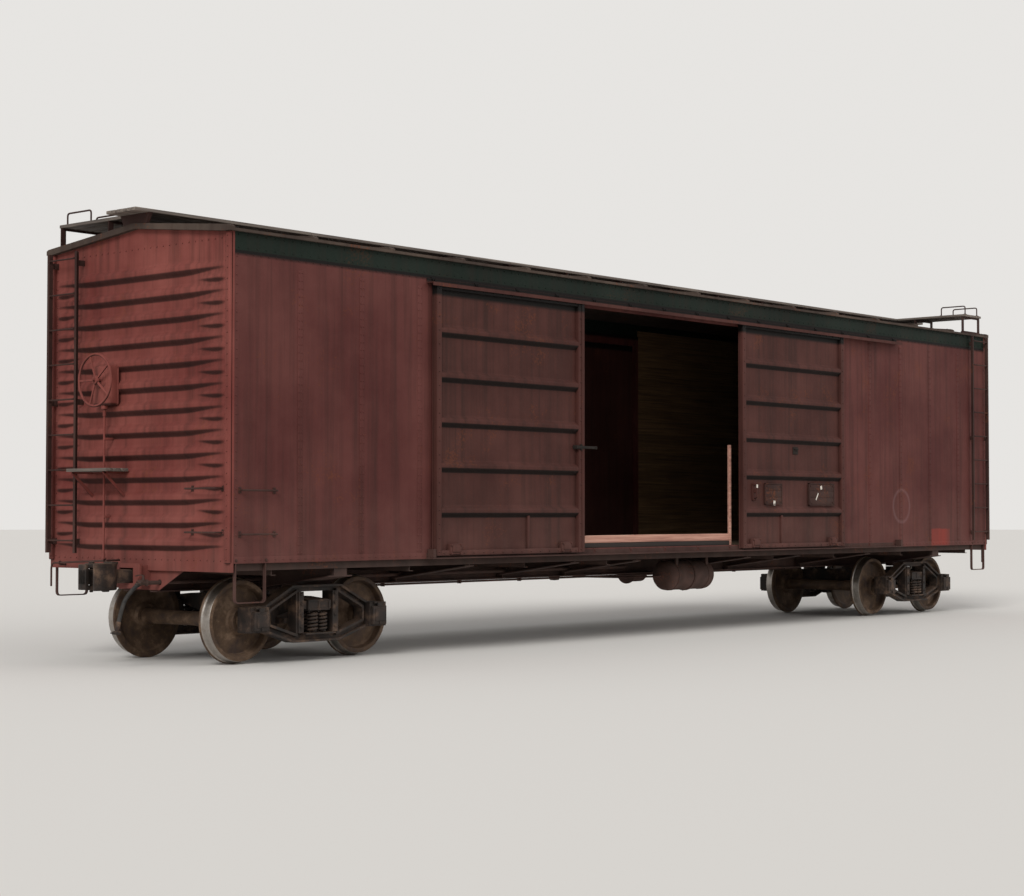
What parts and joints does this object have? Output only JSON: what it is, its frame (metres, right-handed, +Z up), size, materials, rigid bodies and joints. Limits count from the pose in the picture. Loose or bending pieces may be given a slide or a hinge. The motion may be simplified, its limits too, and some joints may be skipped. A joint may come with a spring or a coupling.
{
  "type": "railroad boxcar",
  "caption": "Long steel railroad boxcar with paired sliding doors in each side, ribbed ends, a roof walk, couplers and two four-wheel trucks.",
  "frame": {"origin": "midway between the couplers and the two sides, level with the tips of the wheel flanges", "axes": "+X along the track towards the end without the hand brake, +Y towards the side whose doors are shut, +Z up"},
  "size_m": [16.8228, 3.13, 4.7649],
  "materials": {
    "side_paint": "faded, dusty",
    "door_paint": "faded, dusty",
    "end_paint": "faded, dusty",
    "band_paint": "sooty",
    "roof_paint": "weathered",
    "hardware": "worn",
    "underframe": "dusty",
    "cast_steel": "rusty",
    "wheel_steel": "worn tread",
    "floor_wood": "worn",
    "lining_wood": "worn",
    "board_wood": "weathered",
    "fresh_wood": "raw",
    "hose_rubber": "dusty"
  },
  "bodies": {
    "car_body": {"air_brake_gear": "underframe", "body_bolsters": "underframe", "brake_pipe": "underframe", "brake_rigging": "underframe", "brake_step": "hardware", "centre_sill": "underframe", "coupler_bodies": "cast_steel", "cross_members": "underframe", "door_headers_and_thresholds": "side_paint", "door_posts": "side_paint", "doorway_timbers": "fresh_wood", "end_ladders": "hardware", "end_sills": "end_paint", "far_left_wall": "side_paint", "far_right_wall": "side_paint", "floor": "floor_wood", "floor_stringers": "underframe", "glad_hands": "cast_steel", "grab_irons": "hardware", "hand_brake": "hardware", "ladder_rungs": "hardware", "left_air_hose": "hose_rubber", "left_end": "end_paint", "lining": "lining_wood", "lower_door_tracks": "hardware", "near_left_wall": "side_paint", "near_right_wall": "side_paint", "right_air_hose": "hose_rubber", "right_end": "end_paint", "roof": "roof_paint", "running_board_saddles": "hardware", "running_boards": "board_wood", "side_ladders": "hardware", "side_plates": "band_paint", "side_sills": "underframe", "sill_steps": "hardware", "uncoupling_levers": "hardware", "upper_door_tracks": "hardware"},
    "near_left_door": {"near_left_door": "door_paint"},
    "far_left_door": {"far_left_door": "door_paint"},
    "left_knuckle": {"left_knuckle": "cast_steel"},
    "left_truck": {"left_truck_side_frames": "cast_steel", "left_truck_bolster": "cast_steel", "left_truck_springs": "cast_steel", "left_truck_brake_beams": "cast_steel"},
    "left_truck_left_wheelset": {"left_truck_left_wheels": "wheel_steel", "left_truck_left_axle": "wheel_steel"},
    "left_truck_right_wheelset": {"left_truck_right_wheels": "wheel_steel", "left_truck_right_axle": "wheel_steel"},
    "near_right_door": {"near_right_door": "door_paint"},
    "far_right_door": {"far_right_door": "door_paint"},
    "right_knuckle": {"right_knuckle": "cast_steel"},
    "right_truck": {"right_truck_side_frames": "cast_steel", "right_truck_bolster": "cast_steel", "right_truck_springs": "cast_steel", "right_truck_brake_beams": "cast_steel"},
    "right_truck_left_wheelset": {"right_truck_left_wheels": "wheel_steel", "right_truck_left_axle": "wheel_steel"},
    "right_truck_right_wheelset": {"right_truck_right_wheels": "wheel_steel", "right_truck_right_axle": "wheel_steel"}
  },
  "joints": [
    {"name": "near_left_door_slide", "type": "slide", "parent": "car_body", "child": "near_left_door", "axis": [1, 0, 0], "range_m": [0, 2.421]},
    {"name": "near_right_door_slide", "type": "slide", "parent": "car_body", "child": "near_right_door", "axis": [1, 0, 0], "range_m": [-0.896, 1.525]},
    {"name": "far_left_door_slide", "type": "slide", "parent": "car_body", "child": "far_left_door", "axis": [-1, 0, 0], "range_m": [0, 2.421]},
    {"name": "far_right_door_slide", "type": "slide", "parent": "car_body", "child": "far_right_door", "axis": [1, 0, 0], "range_m": [0, 2.421]},
    {"name": "left_knuckle_swing", "type": "hinge", "parent": "car_body", "child": "left_knuckle", "pos_m": [-8.235, 0.1, 0.901], "axis": [0, 0, -1], "range_deg": [0, 45]},
    {"name": "right_knuckle_swing", "type": "hinge", "parent": "car_body", "child": "right_knuckle", "pos_m": [8.235, -0.1, 0.901], "axis": [0, 0, -1], "range_deg": [0, 45]},
    {"name": "left_truck_swivel", "type": "hinge", "parent": "car_body", "child": "left_truck", "pos_m": [-6.225, 0, 0.68], "axis": [0, 0, 1], "range_deg": [-9, 9]},
    {"name": "left_truck_left_axle_spin", "type": "hinge", "parent": "left_truck", "child": "left_truck_left_wheelset", "pos_m": [-7.063, 0, 0.444], "axis": [0, 1, 0], "continuous": true},
    {"name": "left_truck_right_axle_spin", "type": "hinge", "parent": "left_truck", "child": "left_truck_right_wheelset", "pos_m": [-5.387, 0, 0.444], "axis": [0, 1, 0], "continuous": true},
    {"name": "right_truck_swivel", "type": "hinge", "parent": "car_body", "child": "right_truck", "pos_m": [6.225, 0, 0.68], "axis": [0, 0, 1], "range_deg": [-9, 9]},
    {"name": "right_truck_left_axle_spin", "type": "hinge", "parent": "right_truck", "child": "right_truck_left_wheelset", "pos_m": [5.387, 0, 0.444], "axis": [0, 1, 0], "continuous": true},
    {"name": "right_truck_right_axle_spin", "type": "hinge", "parent": "right_truck", "child": "right_truck_right_wheelset", "pos_m": [7.063, 0, 0.444], "axis": [0, 1, 0], "continuous": true}
  ]
}
